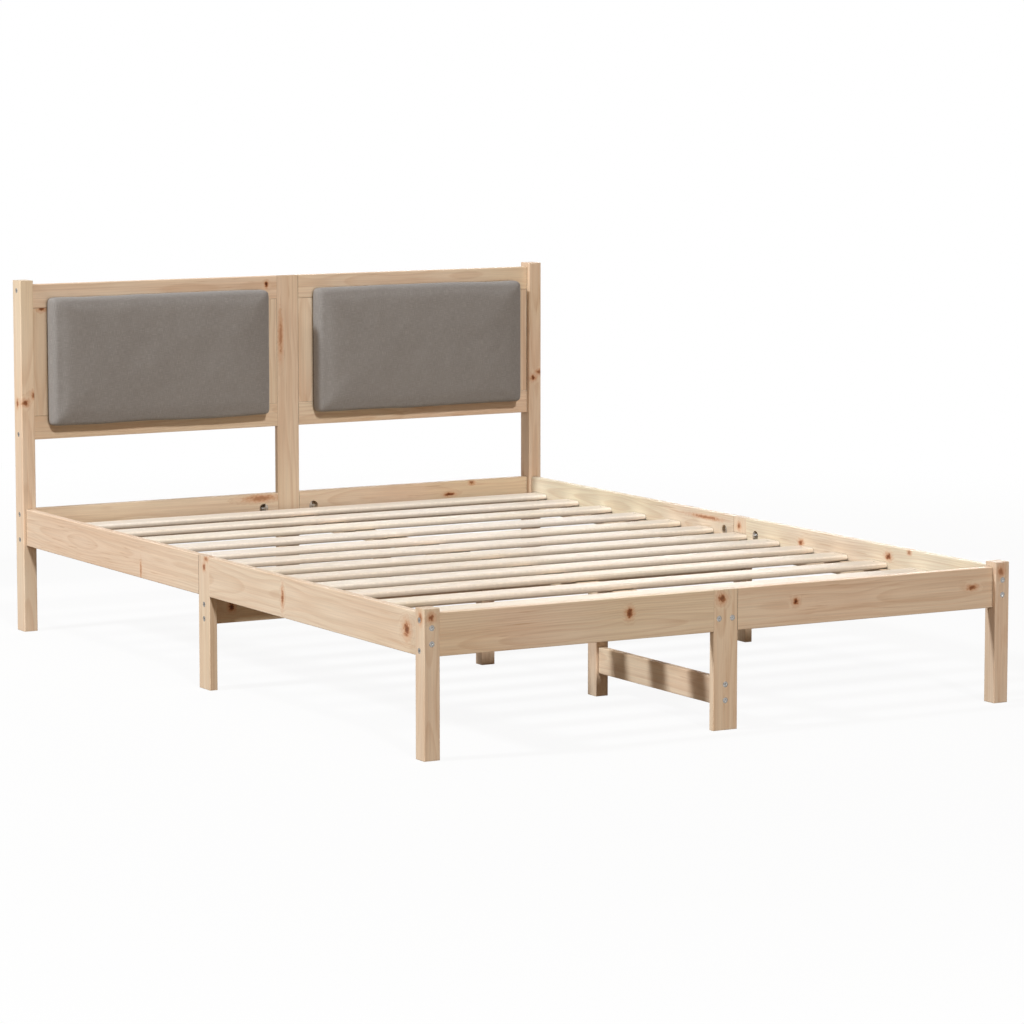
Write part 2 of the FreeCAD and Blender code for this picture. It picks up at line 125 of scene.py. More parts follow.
# Knots: place, half sizes along x, y and z in metres, and how dark the heart is.
KNOTS = {
    "head_post_left": [
        ((-0.717, 0.989, 0.559), (0.0075, 0.020, 0.0065), 0.75),
        ((-0.696, 0.989, 0.576), (0.0050, 0.020, 0.0070), 0.40),
        ((-0.7275, 1.014, 0.556), (0.0120, 0.004, 0.0080), 0.50),
    ],
    "headboard_left_outer_stile": [((-0.667, 1.001, 0.783), (0.0075, 0.020, 0.0045), 0.60)],
    "headboard_left_top_rail": [((-0.059, 1.001, 0.822), (0.0040, 0.020, 0.0070), 1.00)],
    "head_centre_post": [((-0.020, 1.001, 0.690), (0.0040, 0.020, 0.0350), 0.12)],
    "head_post_right": [
        ((0.704, 0.989, 0.557), (0.0060, 0.020, 0.0060), 0.80),
        ((0.722, 0.989, 0.572), (0.0070, 0.020, 0.0050), 0.45),
    ],
    "head_rail_right": [
        ((0.462, 1.001, 0.266), (0.0130, 0.020, 0.0040), 0.90),
        ((0.528, 1.001, 0.292), (0.0060, 0.020, 0.0040), 0.45),
    ],
    "head_rail_left": [((-0.080, 1.001, 0.288), (0.0300, 0.020, 0.0060), 0.15)],
    "mid_leg_left": [
        ((-0.719, -0.001, 0.274), (0.0200, 0.0055, 0.0060), 0.55),
        ((-0.719, -0.012, 0.294), (0.0200, 0.0070, 0.0040), 0.25),
    ],
    "side_rail_left_foot": [
        ((-0.719, -0.388, 0.255), (0.0200, 0.0050, 0.0160), 0.45),
        ((-0.719, -0.946, 0.258), (0.0200, 0.0120, 0.0130), 0.65),
    ],
    "side_rail_left_head": [((-0.719, 0.332, 0.230), (0.0200, 0.0030, 0.0130), 0.20)],
    "foot_leg_left": [
        ((-0.711, -1.034, 0.292), (0.0060, 0.020, 0.0070), 0.60),
        ((-0.7275, -1.018, 0.290), (0.0120, 0.006, 0.0100), 0.35),
    ],
    "foot_rail_left": [((-0.237, -1.023, 0.266), (0.0070, 0.020, 0.0090), 0.75)],
    "foot_rail_right": [
        ((0.176, -1.023, 0.260), (0.0060, 0.020, 0.0060), 1.00),
        ((0.636, -1.023, 0.258), (0.0110, 0.020, 0.0045), 0.55),
    ],
    "foot_centre_leg": [((-0.010, -1.023, 0.280), (0.0090, 0.020, 0.0080), 0.60)],
    "foot_leg_right": [((0.705, -1.034, 0.290), (0.0070, 0.020, 0.0090), 0.30)],
    "cross_beam_left": [((-0.655, -0.010, 0.182), (0.0070, 0.020, 0.0080), 0.90)],
    "side_rail_right_foot": [
        ((0.700, -0.262, 0.267), (0.0200, 0.0080, 0.0060), 0.70),
        ((0.700, -0.615, 0.276), (0.0200, 0.0090, 0.0070), 0.75),
        ((0.700, -0.697, 0.293), (0.0200, 0.0060, 0.0040), 0.20),
    ],
    "side_rail_right_head": [((0.700, 0.150, 0.283), (0.0200, 0.0500, 0.0035), 0.25)],
    "mid_leg_right": [((0.700, 0.004, 0.277), (0.0200, 0.0060, 0.0060), 0.50)],
}


def matching(table, name, default=None):
    """Entry of a table whose key is the longest start of the name."""
    keys = [key for key in table if name.startswith(key)]
    return table[max(keys, key=len)] if keys else default


def srgb(code):
    """Linear colour of a six-digit sRGB code."""
    parts = [int(code[i:i + 2], 16) / 255 for i in (0, 2, 4)]
    linear = [c / 12.92 if c <= 0.04045 else ((c + 0.055) / 1.055) ** 2.4 for c in parts]
    return (*linear, 1.0)


class Graph:
    """Adds shader nodes to one material or sky and links them."""

    def __init__(self, owner):
        owner.use_nodes = True
        self.tree = owner.node_tree
        self.tree.nodes.clear()

    def node(self, kind, **settings):
        made = self.tree.nodes.new(kind)
        for key, value in settings.items():
            setattr(made, key, value)
        return made

    def feed(self, socket, value):
        if isinstance(value, bpy.types.NodeSocket):
            self.tree.links.new(value, socket)
        else:
            socket.default_value = value

    def math(self, operation, *values, clamp=False):
        made = self.node("ShaderNodeMath", operation=operation, use_clamp=clamp)
        for socket, value in zip(made.inputs, values):
            self.feed(socket, value)
        return made.outputs[0]

    def join(self, x, y, z):
        made = self.node("ShaderNodeCombineXYZ")
        for socket, value in zip(made.inputs, (x, y, z)):
            self.feed(socket, value)
        return made.outputs[0]

    def scaled(self, values, scales):
        """Vector of the values, each times its scale."""
        return self.join(*[self.math("MULTIPLY", value, scale) for value, scale in zip(values, scales)])

    def split(self, vector):
        made = self.node("ShaderNodeSeparateXYZ")
        self.feed(made.inputs[0], vector)
        return made.outputs

    def noise(self, vector, detail=2.0, roughness=0.5):
        """Noise at one cycle per unit of the vector, as (value, colour)."""
        made = self.node("ShaderNodeTexNoise")
        self.feed(made.inputs["Vector"], vector)
        self.feed(made.inputs["Scale"], 1.0)
        self.feed(made.inputs["Detail"], detail)
        self.feed(made.inputs["Roughness"], roughness)
        return made.outputs[0], made.outputs[1]

    def ramp(self, value, stops):
        made = self.node("ShaderNodeValToRGB")
        self.feed(made.inputs[0], value)
        elements = made.color_ramp.elements
        while len(elements) < len(stops):
            elements.new(1.0)
        for element, (place, level) in zip(elements, stops):
            element.position = place
            element.color = (level, level, level, 1.0)
        return made.outputs[0]

    def step(self, value, start, end, low=0.0, high=1.0):
        """Smooth step from low at start to high at end."""
        made = self.node("ShaderNodeMapRange", interpolation_type="SMOOTHSTEP")
        for socket, number in zip(made.inputs, (value, start, end, low, high)):
            self.feed(socket, number)
        return made.outputs[0]

    def mix(self, factor, a, b, blend="MIX"):
        made = self.node("ShaderNodeMix", data_type="RGBA", blend_type=blend)
        self.feed(made.inputs[0], factor)
        self.feed(made.inputs[6], a)
        self.feed(made.inputs[7], b)
        return made.outputs[2]

    def finish(self, colour, roughness, height, bump=0.2, distance=0.0004, **constants):
        """Principled surface with a bump from the height."""
        shader = self.node("ShaderNodeBsdfPrincipled")
        self.feed(shader.inputs["Base Color"], colour)
        self.feed(shader.inputs["Roughness"], roughness)
        for name, value in constants.items():
            shader.inputs[name.replace("_", " ")].default_value = value
        dent = self.node("ShaderNodeBump")
        dent.inputs["Strength"].default_value = bump
        dent.inputs["Distance"].default_value = distance
        self.feed(dent.inputs["Height"], height)
        self.feed(shader.inputs["Normal"], dent.outputs[0])
        output = self.node("ShaderNodeOutputMaterial")
        self.feed(output.inputs[0], shader.outputs[0])


# Colours of the wood, the strength of its grain, and the strength and width of the paler band along its
# arrises, partly rub and partly painted highlight.
PINE = {
    "light": srgb("E8D6BE"),
    "late": srgb("C49A74"),
    "pink": srgb("E7CEB5"),
    "sand": srgb("E6D2B2"),
    "contrast": 0.29,
    "rub_and_highlight": 0.06,
    "rub_and_highlight_width": 0.0035,
}
SLAT = {
    "light": srgb("EEE5D8"),
    "late": srgb("D5C2A3"),
    "pink": srgb("EDE1D2"),
    "sand": srgb("EBE0CC"),
    "contrast": 0.22,
    "rub_and_highlight": 0.20,
    "rub_and_highlight_width": 0.0080,
}
KNOT_HALO = srgb("CB8A58")
KNOT_HEART = srgb("A05A2C")
KNOT_PITH = srgb("3E1F11")

# Cycles per metre along, across and through a board.
PITH_DRIFT = (1.7, 2.2, 2.2)
ROUGHNESS = (110.0, 150.0, 40.0)
FIBRES = (7.0, 420.0, 420.0)
STREAKS = (1.6, 60.0, 60.0)
PORES = (60.0, 1500.0, 1500.0)
DASHES = (11.0, 260.0, 260.0)

# Ranges that each board draws from: width of a year's ring and depth of the pith in metres, and shade.
RING_WIDTHS = (0.0036, 0.0058)
PITH_DEPTHS = (0.035, 0.08)
BOARD_SHADES = (0.97, 1.03)

# One year's growth, from early wood to the dark line of late wood.
RING_STOPS = [(0.0, 0.05), (0.45, 0.18), (0.86, 0.95), (0.93, 0.8), (1.0, 0.05)]

# Painted shade in corners, crevices and under the slats, found by ambient occlusion: the rays that look for
# one, how far it reaches in metres and how dark it gets.
PAINTED_SHADE_RAYS = 4
PAINTED_SHADE_REACH = 0.009
PAINTED_CORNER_SHADE = 0.20
CLOTH_PAINTED_SHADE_REACH = 0.014
DEEP_PAINTED_SHADE = (0.03, 0.10)
SOFT_PAINTED_SHADE = (PAINTED_SHADE_REACH, 0.50)
PAINTED_SHADE_BY_BOARD = {
    "ledger": DEEP_PAINTED_SHADE,
    "centre_beam": DEEP_PAINTED_SHADE,
    "slat": SOFT_PAINTED_SHADE,
    "side_rail_right": SOFT_PAINTED_SHADE,
}


def wood(name, axes, palette, knots=()):
    """Solid pine: rings round a pith that lies beside the board, fibres, pores and knots."""
    contrast = palette["contrast"]
    dice = random.Random(name)
    material = bpy.data.materials.new("pine_" + name)
    g = Graph(material)
    low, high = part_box(name)
    order = ["XYZ".index(letter) for letter in axes]
    centre = [(low[i] + high[i]) / 2 for i in range(3)]
    half = [(high[i] - low[i]) / 2 for i in range(3)]

    place = g.split(g.node("ShaderNodeTexCoord").outputs["Object"])
    along, across, through = [g.math("SUBTRACT", place[i], centre[i]) for i in order]
    shift = [dice.uniform(-20, 20) for _ in range(3)]

    def grain(scales, shifts):
        """Place on the board, scaled along, across and through it, and shifted."""
        parts = zip((along, across, through), scales, shifts)
        return g.join(*[g.math("MULTIPLY_ADD", part, scale, shift[i]) for part, scale, i in parts])

    # The pith wanders slowly along the board.
    tone, drift = g.noise(grain(PITH_DRIFT, (0, 1, 2)), 2.0, 0.55)
    drift_a, drift_t, drift_s = g.split(drift)
    pith_a = dice.uniform(-0.35, 0.35) * 2 * half[order[1]]
    pith_t = dice.choice((-1, 1)) * dice.uniform(*PITH_DEPTHS)
    from_a = g.math("ADD", across, g.math("MULTIPLY_ADD", drift_a, 0.03, -0.015 - pith_a))
    from_t = g.math("ADD", through, g.math("MULTIPLY_ADD", drift_t, 0.04, -0.02 - pith_t))

    # Grain runs round each knot.
    rough = g.noise(grain(ROUGHNESS, (1, 2, 0)), 3.0, 0.6)[0]
    hearts = []
    for spot, sizes, dark in knots:
        squares = 0.0
        for axis in range(3):
            off = g.math("MULTIPLY", g.math("SUBTRACT", place[axis], spot[axis]), 1.0 / sizes[axis])
            squares = g.math("MULTIPLY_ADD", off, off, squares)
        away = g.math("ADD", g.math("SQRT", squares), g.math("MULTIPLY_ADD", rough, 2.4, -1.2))
        bulge = g.step(away, 0.0, 3.6, 1.6 * min(sizes), 0.0)
        from_t = g.math("ADD", from_t, bulge)
        hearts.append((away, dark))

    square_a = g.math("MULTIPLY", from_a, from_a)
    square_t = g.math("MULTIPLY", from_t, from_t)
    radius = g.math("SQRT", g.math("ADD", square_a, square_t))
    spacing = dice.uniform(*RING_WIDTHS)
    uneven = g.noise(g.join(g.math("MULTIPLY", radius, 70.0), shift[0], shift[1]), 1.0)[0]
    years = g.math("MULTIPLY_ADD", radius, 1.0 / spacing, g.math("MULTIPLY", uneven, 1.6))
    late = g.ramp(g.math("FRACT", years), RING_STOPS)

    fibre = g.noise(grain(FIBRES, (2, 0, 1)), 3.0, 0.6)[0]
    streak = g.noise(grain(STREAKS, (1, 2, 0)), 2.0, 0.6)[0]
    pore = g.step(g.noise(grain(PORES, (0, 1, 2)), 1.0)[0], 0.66, 0.78)
    dash = g.noise(grain(DASHES, (2, 1, 0)), 2.0, 0.55)[0]
    dash = g.math("MULTIPLY", g.step(dash, 0.58, 0.74), g.step(tone, 0.42, 0.62))

    colour = g.mix(g.step(tone, 0.35, 0.65), palette["light"], palette["pink"])
    colour = g.mix(g.step(drift_s, 0.45, 0.7, 0.0, 0.7), colour, palette["sand"])
    colour = g.mix(g.math("MULTIPLY", late, contrast), colour, palette["late"])
    colour = g.mix(g.step(streak, 0.42, 0.72, 0.0, 0.9 * contrast), colour, palette["late"])
    colour = g.mix(g.math("MULTIPLY", dash, 2.2 * contrast), colour, palette["late"])
    shade = g.step(fibre, 0.25, 0.75, 0.93, 1.05)
    shade = g.math("MULTIPLY", shade, dice.uniform(*BOARD_SHADES))
    shade = g.math("SUBTRACT", shade, g.math("MULTIPLY", pore, 0.10))

    # Cut ends take up more finish and look darker.
    normal = g.split(g.node("ShaderNodeNewGeometry").outputs["True Normal"])[order[0]]
    end = g.step(g.math("ABSOLUTE", normal), 0.7, 0.95)
    shade = g.math("MULTIPLY", shade, g.math("MULTIPLY_ADD", end, -0.13, 1.0))

    # Arrises are painted paler, more in some places than in others: partly rub from wear, partly a painted
    # highlight where the rounded edges catch the light.
    sides = []
    for value, i in zip((along, across, through), order):
        sides.append(g.math("SUBTRACT", half[i], g.math("ABSOLUTE", value)))
    lower = g.math("MINIMUM", sides[0], sides[1])
    upper = g.math("MAXIMUM", sides[0], sides[1])
    second = g.math("MAXIMUM", lower, g.math("MINIMUM", upper, sides[2]))
    arris = g.step(second, 0.0, palette["rub_and_highlight_width"], 1.0, 0.0)
    rubbed_and_lit = g.math("MULTIPLY", arris, g.step(rough, 0.35, 0.7, 0.25, 1.0))
    shade = g.math("MULTIPLY_ADD", rubbed_and_lit, palette["rub_and_highlight"], shade)

    # Painted shade: the colour darkens where ambient occlusion finds a nearby surface, in corners, in
    # crevices and under the slats.
    shade_probe = g.node("ShaderNodeAmbientOcclusion", samples=PAINTED_SHADE_RAYS)
    reach, darkest = matching(PAINTED_SHADE_BY_BOARD, name, (PAINTED_SHADE_REACH, PAINTED_CORNER_SHADE))
    shade_probe.inputs["Distance"].default_value = reach
    shade = g.math("MULTIPLY", shade, g.step(shade_probe.outputs["AO"], 0.05, 0.8, darkest, 1.0))
    # Painted light and shade: each board's tint and the painted corner shade multiply its colour.
    tint = [g.math("MULTIPLY", shade, level) for level in matching(BOARD_TONES_AND_PAINTED_LIGHT, name, (1.0, 1.0, 1.0))]
    colour = g.mix(1.0, colour, g.join(*tint), "MULTIPLY")

    core_any = 0.0
    for away, dark in hearts:
        halo = g.step(away, 0.6, 2.7, 0.55, 0.0)
        colour = g.mix(halo, colour, KNOT_HALO)
        heart = g.step(away, 0.5, 1.35, 0.4 + 0.6 * dark, 0.0)
        colour = g.mix(heart, colour, KNOT_HEART)
        pith = g.step(away, 0.1, 1.0, 0.9 * dark, 0.0)
        colour = g.mix(pith, colour, KNOT_PITH)
        core_any = g.math("ADD", core_any, heart)

    rough_level = g.math("MULTIPLY_ADD", late, -0.07, 0.56)
    rough_level = g.math("ADD", rough_level, g.math("MULTIPLY_ADD", fibre, 0.12, -0.06))
    height = g.math("MULTIPLY_ADD", late, 0.5, g.math("MULTIPLY", fibre, 0.45))
    height = g.math("SUBTRACT", height, g.math("MULTIPLY", pore, 0.6))
    height = g.math("MULTIPLY_ADD", core_any, 0.35, height)
    g.finish(colour, rough_level, height, bump=0.22, distance=0.0004, IOR=1.45, Specular_IOR_Level=0.25)
    return material


ZINC_BRIGHT = srgb("D2D2D2")
ZINC_DULL = srgb("A9A8A4")
ZINC_PATCHES = (260.0, 260.0, 260.0)
ZINC_SPANGLE = (2400.0, 2400.0, 2400.0)


def steel():
    """Zinc plated steel: faint spangle, rubbing marks and dull patches."""
    material = bpy.data.materials.new("zinc_steel")
    g = Graph(material)
    place = g.split(g.node("ShaderNodeTexCoord").outputs["Object"])
    patch = g.noise(g.scaled(place, ZINC_PATCHES), 3.0, 0.6)[0]
    fine = g.noise(g.scaled(place, ZINC_SPANGLE), 2.0)[0]
    colour = g.mix(g.step(patch, 0.35, 0.7), ZINC_BRIGHT, ZINC_DULL)
    dull = g.step(patch, 0.3, 0.75, 0.2, 0.34)
    rough_level = g.math("ADD", dull, g.math("MULTIPLY_ADD", fine, 0.1, -0.05))
    g.finish(colour, rough_level, fine, bump=0.12, distance=0.0001, Metallic=1.0)
    return material


PLY_FACE = srgb("D9C09A")
PLY_FIGURE = srgb("B98F63")
PLY_FIBRE = srgb("AD865C")
PLY_EDGE = srgb("8E6A48")
PLY_FIBRES = (12.0, 1.0, 700.0)
PLY_PITCH = 0.003
FIGURE_STOPS = [(0.0, 0.0), (0.5, 0.3), (0.9, 1.0), (1.0, 0.0)]
PLY_STOPS = [(0.0, 0.1), (0.5, 0.1), (0.55, 1.0), (1.0, 1.0)]


def plywood():
    """Rotary cut face with broad soft figure, and plies at the edge."""
    material = bpy.data.materials.new("plywood")
    g = Graph(material)
    x, y, z = g.split(g.node("ShaderNodeTexCoord").outputs["Object"])
    warp = g.noise(g.join(g.math("MULTIPLY", x, 2.0), g.math("MULTIPLY", z, 7.0), 3.0), 2.0)[0]
    bands = g.math("MULTIPLY_ADD", warp, 9.0, g.math("MULTIPLY", z, 12.0))
    figure = g.ramp(g.math("FRACT", bands), FIGURE_STOPS)
    fibre = g.noise(g.scaled((x, y, z), PLY_FIBRES), 3.0, 0.6)[0]
    plies = g.ramp(g.math("FRACT", g.math("MULTIPLY", y, 1.0 / PLY_PITCH)), PLY_STOPS)
    normal = g.split(g.node("ShaderNodeNewGeometry").outputs["True Normal"])[1]
    edge = g.step(g.math("ABSOLUTE", normal), 0.4, 0.6, 1.0, 0.0)
    colour = g.mix(g.math("MULTIPLY", figure, 0.45), PLY_FACE, PLY_FIGURE)
    colour = g.mix(g.step(fibre, 0.3, 0.8, 0.0, 0.3), colour, PLY_FIBRE)
    colour = g.mix(g.math("MULTIPLY", edge, g.math("MULTIPLY", plies, 0.6)), colour, PLY_EDGE)
    g.finish(colour, g.math("MULTIPLY_ADD", fibre, 0.15, 0.55), fibre, bump=0.2, distance=0.0003)
    return material


BEECH_LIGHT = srgb("D9B98F")
BEECH_FLECK = srgb("A87B52")
BEECH_FLECKS = (90.0, 900.0, 900.0)


def beech():
    """Dowels: close grain with short dark flecks."""
    material = bpy.data.materials.new("dowel_beech")
    g = Graph(material)
    place = g.split(g.node("ShaderNodeTexCoord").outputs["Object"])
    fleck = g.noise(g.scaled(place, BEECH_FLECKS), 2.0)[0]
    colour = g.mix(g.step(fleck, 0.5, 0.75), BEECH_LIGHT, BEECH_FLECK)
    g.finish(colour, g.math("MULTIPLY_ADD", fleck, 0.1, 0.5), fleck, bump=0.15, distance=0.0002)
    return material


# Width of a thread and of its waver in metres. The other numbers are cycles per metre: of the waver, of
# the thick stretches along a thread and across it, and of the cloudy shade.
THREAD = 0.0011
WAVER = 0.0016
WAVER_CYCLES = 45.0
SLUB_ALONG = 60.0
SLUB_ACROSS = 1300.0
LINEN_CLOUDS = (9.0, 9.0, 9.0)
LINEN_DARK = srgb("85817E")
LINEN_LIGHT = srgb("9B9793")


def linen():
    """Plain weave in taupe yarns of uneven thickness and shade, laid on by the face's direction."""
    material = bpy.data.materials.new("linen_taupe")
    g = Graph(material)
    place = g.split(g.node("ShaderNodeTexCoord").outputs["Object"])
    normal = g.split(g.node("ShaderNodeNewGeometry").outputs["Normal"])

    def weave(u, v, seed):
        """Height and tint of the cloth on one plane."""
        slow_u = g.math("MULTIPLY", u, WAVER_CYCLES)
        slow_v = g.math("MULTIPLY", v, WAVER_CYCLES)
        wave_u, wave_v, _ = g.split(g.noise(g.join(slow_u, slow_v, seed), 2.0)[1])
        u = g.math("ADD", u, g.math("MULTIPLY_ADD", wave_u, WAVER, -WAVER / 2))
        v = g.math("ADD", v, g.math("MULTIPLY_ADD", wave_v, WAVER, -WAVER / 2))
        turn_u = g.math("SINE", g.math("MULTIPLY", u, math.pi / THREAD))
        turn_v = g.math("SINE", g.math("MULTIPLY", v, math.pi / THREAD))
        over = g.step(g.math("MULTIPLY", turn_u, turn_v), -0.25, 0.25)
        warp = g.math("ABSOLUTE", turn_u)
        weft = g.math("ABSOLUTE", turn_v)
        under = g.math("SUBTRACT", 1.0, over)
        height = g.math("ADD", g.math("MULTIPLY", over, warp), g.math("MULTIPLY", under, weft))
        along_u = g.math("MULTIPLY", u, SLUB_ALONG)
        along_v = g.math("MULTIPLY", v, SLUB_ALONG)
        across_u = g.math("MULTIPLY", u, SLUB_ACROSS)
        across_v = g.math("MULTIPLY", v, SLUB_ACROSS)
        slub_u = g.noise(g.join(along_u, across_v, seed + 3.0), 2.0)[0]
        slub_v = g.noise(g.join(across_u, along_v, seed + 7.0), 2.0)[0]
        yarn = g.math("ADD", g.step(slub_u, 0.4, 0.75), g.step(slub_v, 0.4, 0.75))
        rise = g.math("MULTIPLY_ADD", yarn, 0.5, height)
        tint = g.math("MULTIPLY_ADD", height, 0.25, g.math("MULTIPLY", yarn, 0.5))
        return rise, tint

    x, y, z = place
    planes = [weave(y, z, 1.0), weave(x, z, 11.0), weave(x, y, 21.0)]
    weights = [g.math("POWER", g.math("ABSOLUTE", n), 6.0) for n in normal]
    total = g.math("ADD", g.math("ADD", weights[0], weights[1]), weights[2])
    height, shade = 0.0, 0.0
    for (rise, tint), weight in zip(planes, weights):
        part = g.math("DIVIDE", weight, total)
        height = g.math("ADD", height, g.math("MULTIPLY", rise, part))
        shade = g.math("ADD", shade, g.math("MULTIPLY", tint, part))
    cloud = g.noise(g.scaled(place, LINEN_CLOUDS), 3.0, 0.6)[0]
    shade = g.math("ADD", shade, g.math("MULTIPLY_ADD", cloud, 0.14, -0.07))
    colour = g.mix(g.step(shade, 0.0, 1.0), LINEN_DARK, LINEN_LIGHT)

    # Painted shade: the cloth darkens where it meets the wood, found by ambient occlusion.
    shade_probe = g.node("ShaderNodeAmbientOcclusion", samples=PAINTED_SHADE_RAYS)
    shade_probe.inputs["Distance"].default_value = CLOTH_PAINTED_SHADE_REACH
    edge = g.step(shade_probe.outputs["AO"], 0.05, 0.8, PAINTED_CORNER_SHADE, 1.0)
    colour = g.mix(1.0, colour, g.join(edge, edge, edge), "MULTIPLY")
    sheen = {"Sheen_Weight": 0.25, "Sheen_Roughness": 0.5}
    g.finish(colour, 0.9, height, bump=0.45, distance=0.0006, IOR=1.35, **sheen)
    return material


def dress_nodes():
    """Gives each CAD node its own finish in place of the plain one."""
    zinc, board, peg = steel(), plywood(), beech()
    for name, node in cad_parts.items():
        axes = matching(GRAIN_AXES, name)
        if axes and name.startswith("slat"):
            finish = wood(name, axes, SLAT)
        elif axes:
            finish = wood(name, axes, PINE, KNOTS.get(name, ()))
        elif name.startswith("cushion_board"):
            finish = board
        elif name == "dowels":
            finish = peg
        elif name.startswith("cushion"):
            continue
        else:
            finish = zinc
        for slot in node.material_slots:
            slot.material = finish


# Form of the pad before it is filled, in metres: how far inside the CAD cushion it starts, its roundings,
# and the rise of its front.
CUSHION_START = 0.003
CUSHION_CORNER = 0.005
CUSHION_SHOULDER = 0.015
CUSHION_BACK_EDGE = 0.002
CUSHION_BACK_WALL = 0.010
CUSHION_CROWN = 0.005
CUSHION_CROWN_REACH = 0.12
CUSHION_CROWN_SHARES = (0.25, 0.5, 0.75, 0.95)
CUSHION_VOXEL = 0.005
CUSHION_EASE = 13
POCKET_GAP = 0.0004

# Filling: pressure and time, the most that the cloth rises and slides in metres, the depth of cloth that is
# held at the back, and the depth over which the waves fade out there.
CUSHION_PRESSURE = 4.0
CUSHION_FRAMES = 20
CUSHION_CAP = 0.005
CUSHION_SINK = 0.0015
CUSHION_HELD = 0.003
CUSHION_RIM = 0.012

# Height of the cloth's waves, its small unevenness and the sway of its edges in metres, each with its cycles
# per metre along x, y and z.
CLOTH_WAVE = 0.0012
CLOTH_WAVE_SIDE = 0.0010
CLOTH_WAVE_CYCLES = (14.0, 6.0, 14.0)
CLOTH_FINE = 0.0004
CLOTH_FINE_CYCLES = (38.0, 20.0, 38.0)
CLOTH_FINE_SHIFT = (5.0, 0.0, 0.0)
CLOTH_SWAY = 0.0030
CLOTH_SWAY_CYCLES = (5.0, 4.0, 3.0)
CLOTH_SWAY_SHIFT = (0.0, 0.0, 9.0)

CLOTH_SETTINGS = {
    "quality": 6,
    "mass": 0.3,
    "tension_stiffness": 18.0,
    "compression_stiffness": 12.0,
    "shear_stiffness": 8.0,
    "bending_stiffness": 0.6,
    "use_pressure": True,
    "uniform_pressure_force": CUSHION_PRESSURE,
}


def rounded_pad(low, high, steps=6):
    """Closed pad, flat at the back: rounded outline, rounded shoulders and a slightly bowed front."""
    middle = [(low[i] + high[i]) / 2 for i in range(3)]
    half_x = (high[0] - low[0]) / 2
    half_z = (high[2] - low[2]) / 2
    outline = []
    for sign_x, sign_z, start in ((1, 1, 0), (-1, 1, 90), (-1, -1, 180), (1, -1, 270)):
        for i in range(steps + 1):
            angle = math.radians(start + 90 * i / steps)
            x = sign_x * (half_x - CUSHION_CORNER) + CUSHION_CORNER * math.cos(angle)
            z = sign_z * (half_z - CUSHION_CORNER) + CUSHION_CORNER * math.sin(angle)
            outline.append((x, z))
    levels = [
        (high[1], CUSHION_BACK_EDGE),
        (high[1] - CUSHION_BACK_EDGE, 0.0),
        (high[1] - CUSHION_BACK_WALL, 0.0),
    ]
    front = low[1] + CUSHION_CROWN
    for i in range(steps + 1):
        angle = math.radians(90 * i / steps)
        depth = front + CUSHION_SHOULDER * (1 - math.sin(angle))
        levels.append((depth, CUSHION_SHOULDER * (1 - math.cos(angle))))
    for share in CUSHION_CROWN_SHARES:
        depth = front - CUSHION_CROWN * math.sin(share * math.pi / 2)
        levels.append((depth, CUSHION_SHOULDER + share * CUSHION_CROWN_REACH))
    mesh = bmesh.new()
    rings = []
    for y, inset in levels:
        scale_x = (half_x - inset) / half_x
        scale_z = (half_z - inset) / half_z
        ring = [(middle[0] + x * scale_x, y, middle[2] + z * scale_z) for x, z in outline]
        rings.append([mesh.verts.new(point) for point in ring])
    for first, second in zip(rings, rings[1:]):
        for i in range(len(outline)):
            j = (i + 1) % len(outline)
            mesh.faces.new((first[i], first[j], second[j], second[i]))
    mesh.faces.new(rings[0][::-1])
    mesh.faces.new(rings[-1])
    bmesh.ops.recalc_face_normals(mesh, faces=mesh.faces)
    return mesh


def use_modifier(piece, name, kind, **settings):
    """Adds a modifier, applies it and leaves the piece active."""
    modifier = piece.modifiers.new(name, kind)
    for key, value in settings.items():
        setattr(modifier, key, value)
    bpy.ops.object.select_all(action="DESELECT")
    piece.select_set(True)
    bpy.context.view_layer.objects.active = piece
    bpy.ops.object.modifier_apply(modifier=modifier.name)


def puff(piece, back):
    """Fills the pad: cloth under pressure, held where it meets the board."""
    start = [v.co.copy() for v in piece.data.vertices]
    facing = [v.normal.copy() for v in piece.data.vertices]
    held = piece.vertex_groups.new(name="held")
    held.add([i for i, co in enumerate(start) if co.y > back - CUSHION_HELD], 1.0, "REPLACE")
    cloth = piece.modifiers.new("cloth", "CLOTH")
    for key, value in CLOTH_SETTINGS.items():
        setattr(cloth.settings, key, value)
    cloth.settings.vertex_group_mass = "held"
    cloth.settings.effector_weights.gravity = 0.0
    cloth.collision_settings.use_collision = False
    cloth.point_cache.frame_start = 1
    cloth.point_cache.frame_end = CUSHION_FRAMES
    for number in range(1, CUSHION_FRAMES + 1):
        scene.frame_set(number)
    posed = piece.evaluated_get(bpy.context.evaluated_depsgraph_get())
    ends = [v.co.copy() for v in posed.data.vertices]
    piece.modifiers.remove(cloth)
    scene.frame_set(1)
    for vertex, first, last, outward in zip(piece.data.vertices, start, ends, facing):
        move = last - first
        rise = move.dot(outward)
        slide = move - rise * outward
        rise = CUSHION_CAP * math.tanh(max(0.0, rise) / CUSHION_CAP)
        if slide.length > CUSHION_SINK:
            slide *= CUSHION_SINK / slide.length
        vertex.co = first + rise * outward + slide


def fit_box(piece, low, high):
    """Stretches the pad by a hair so that it fills the space of the CAD cushion."""
    points = [v.co for v in piece.data.vertices]
    for axis in range(3):
        first = min(co[axis] for co in points)
        last = max(co[axis] for co in points)
        scale = (high[axis] - low[axis]) / (last - first)
        for co in points:
            co[axis] = low[axis] + (co[axis] - first) * scale


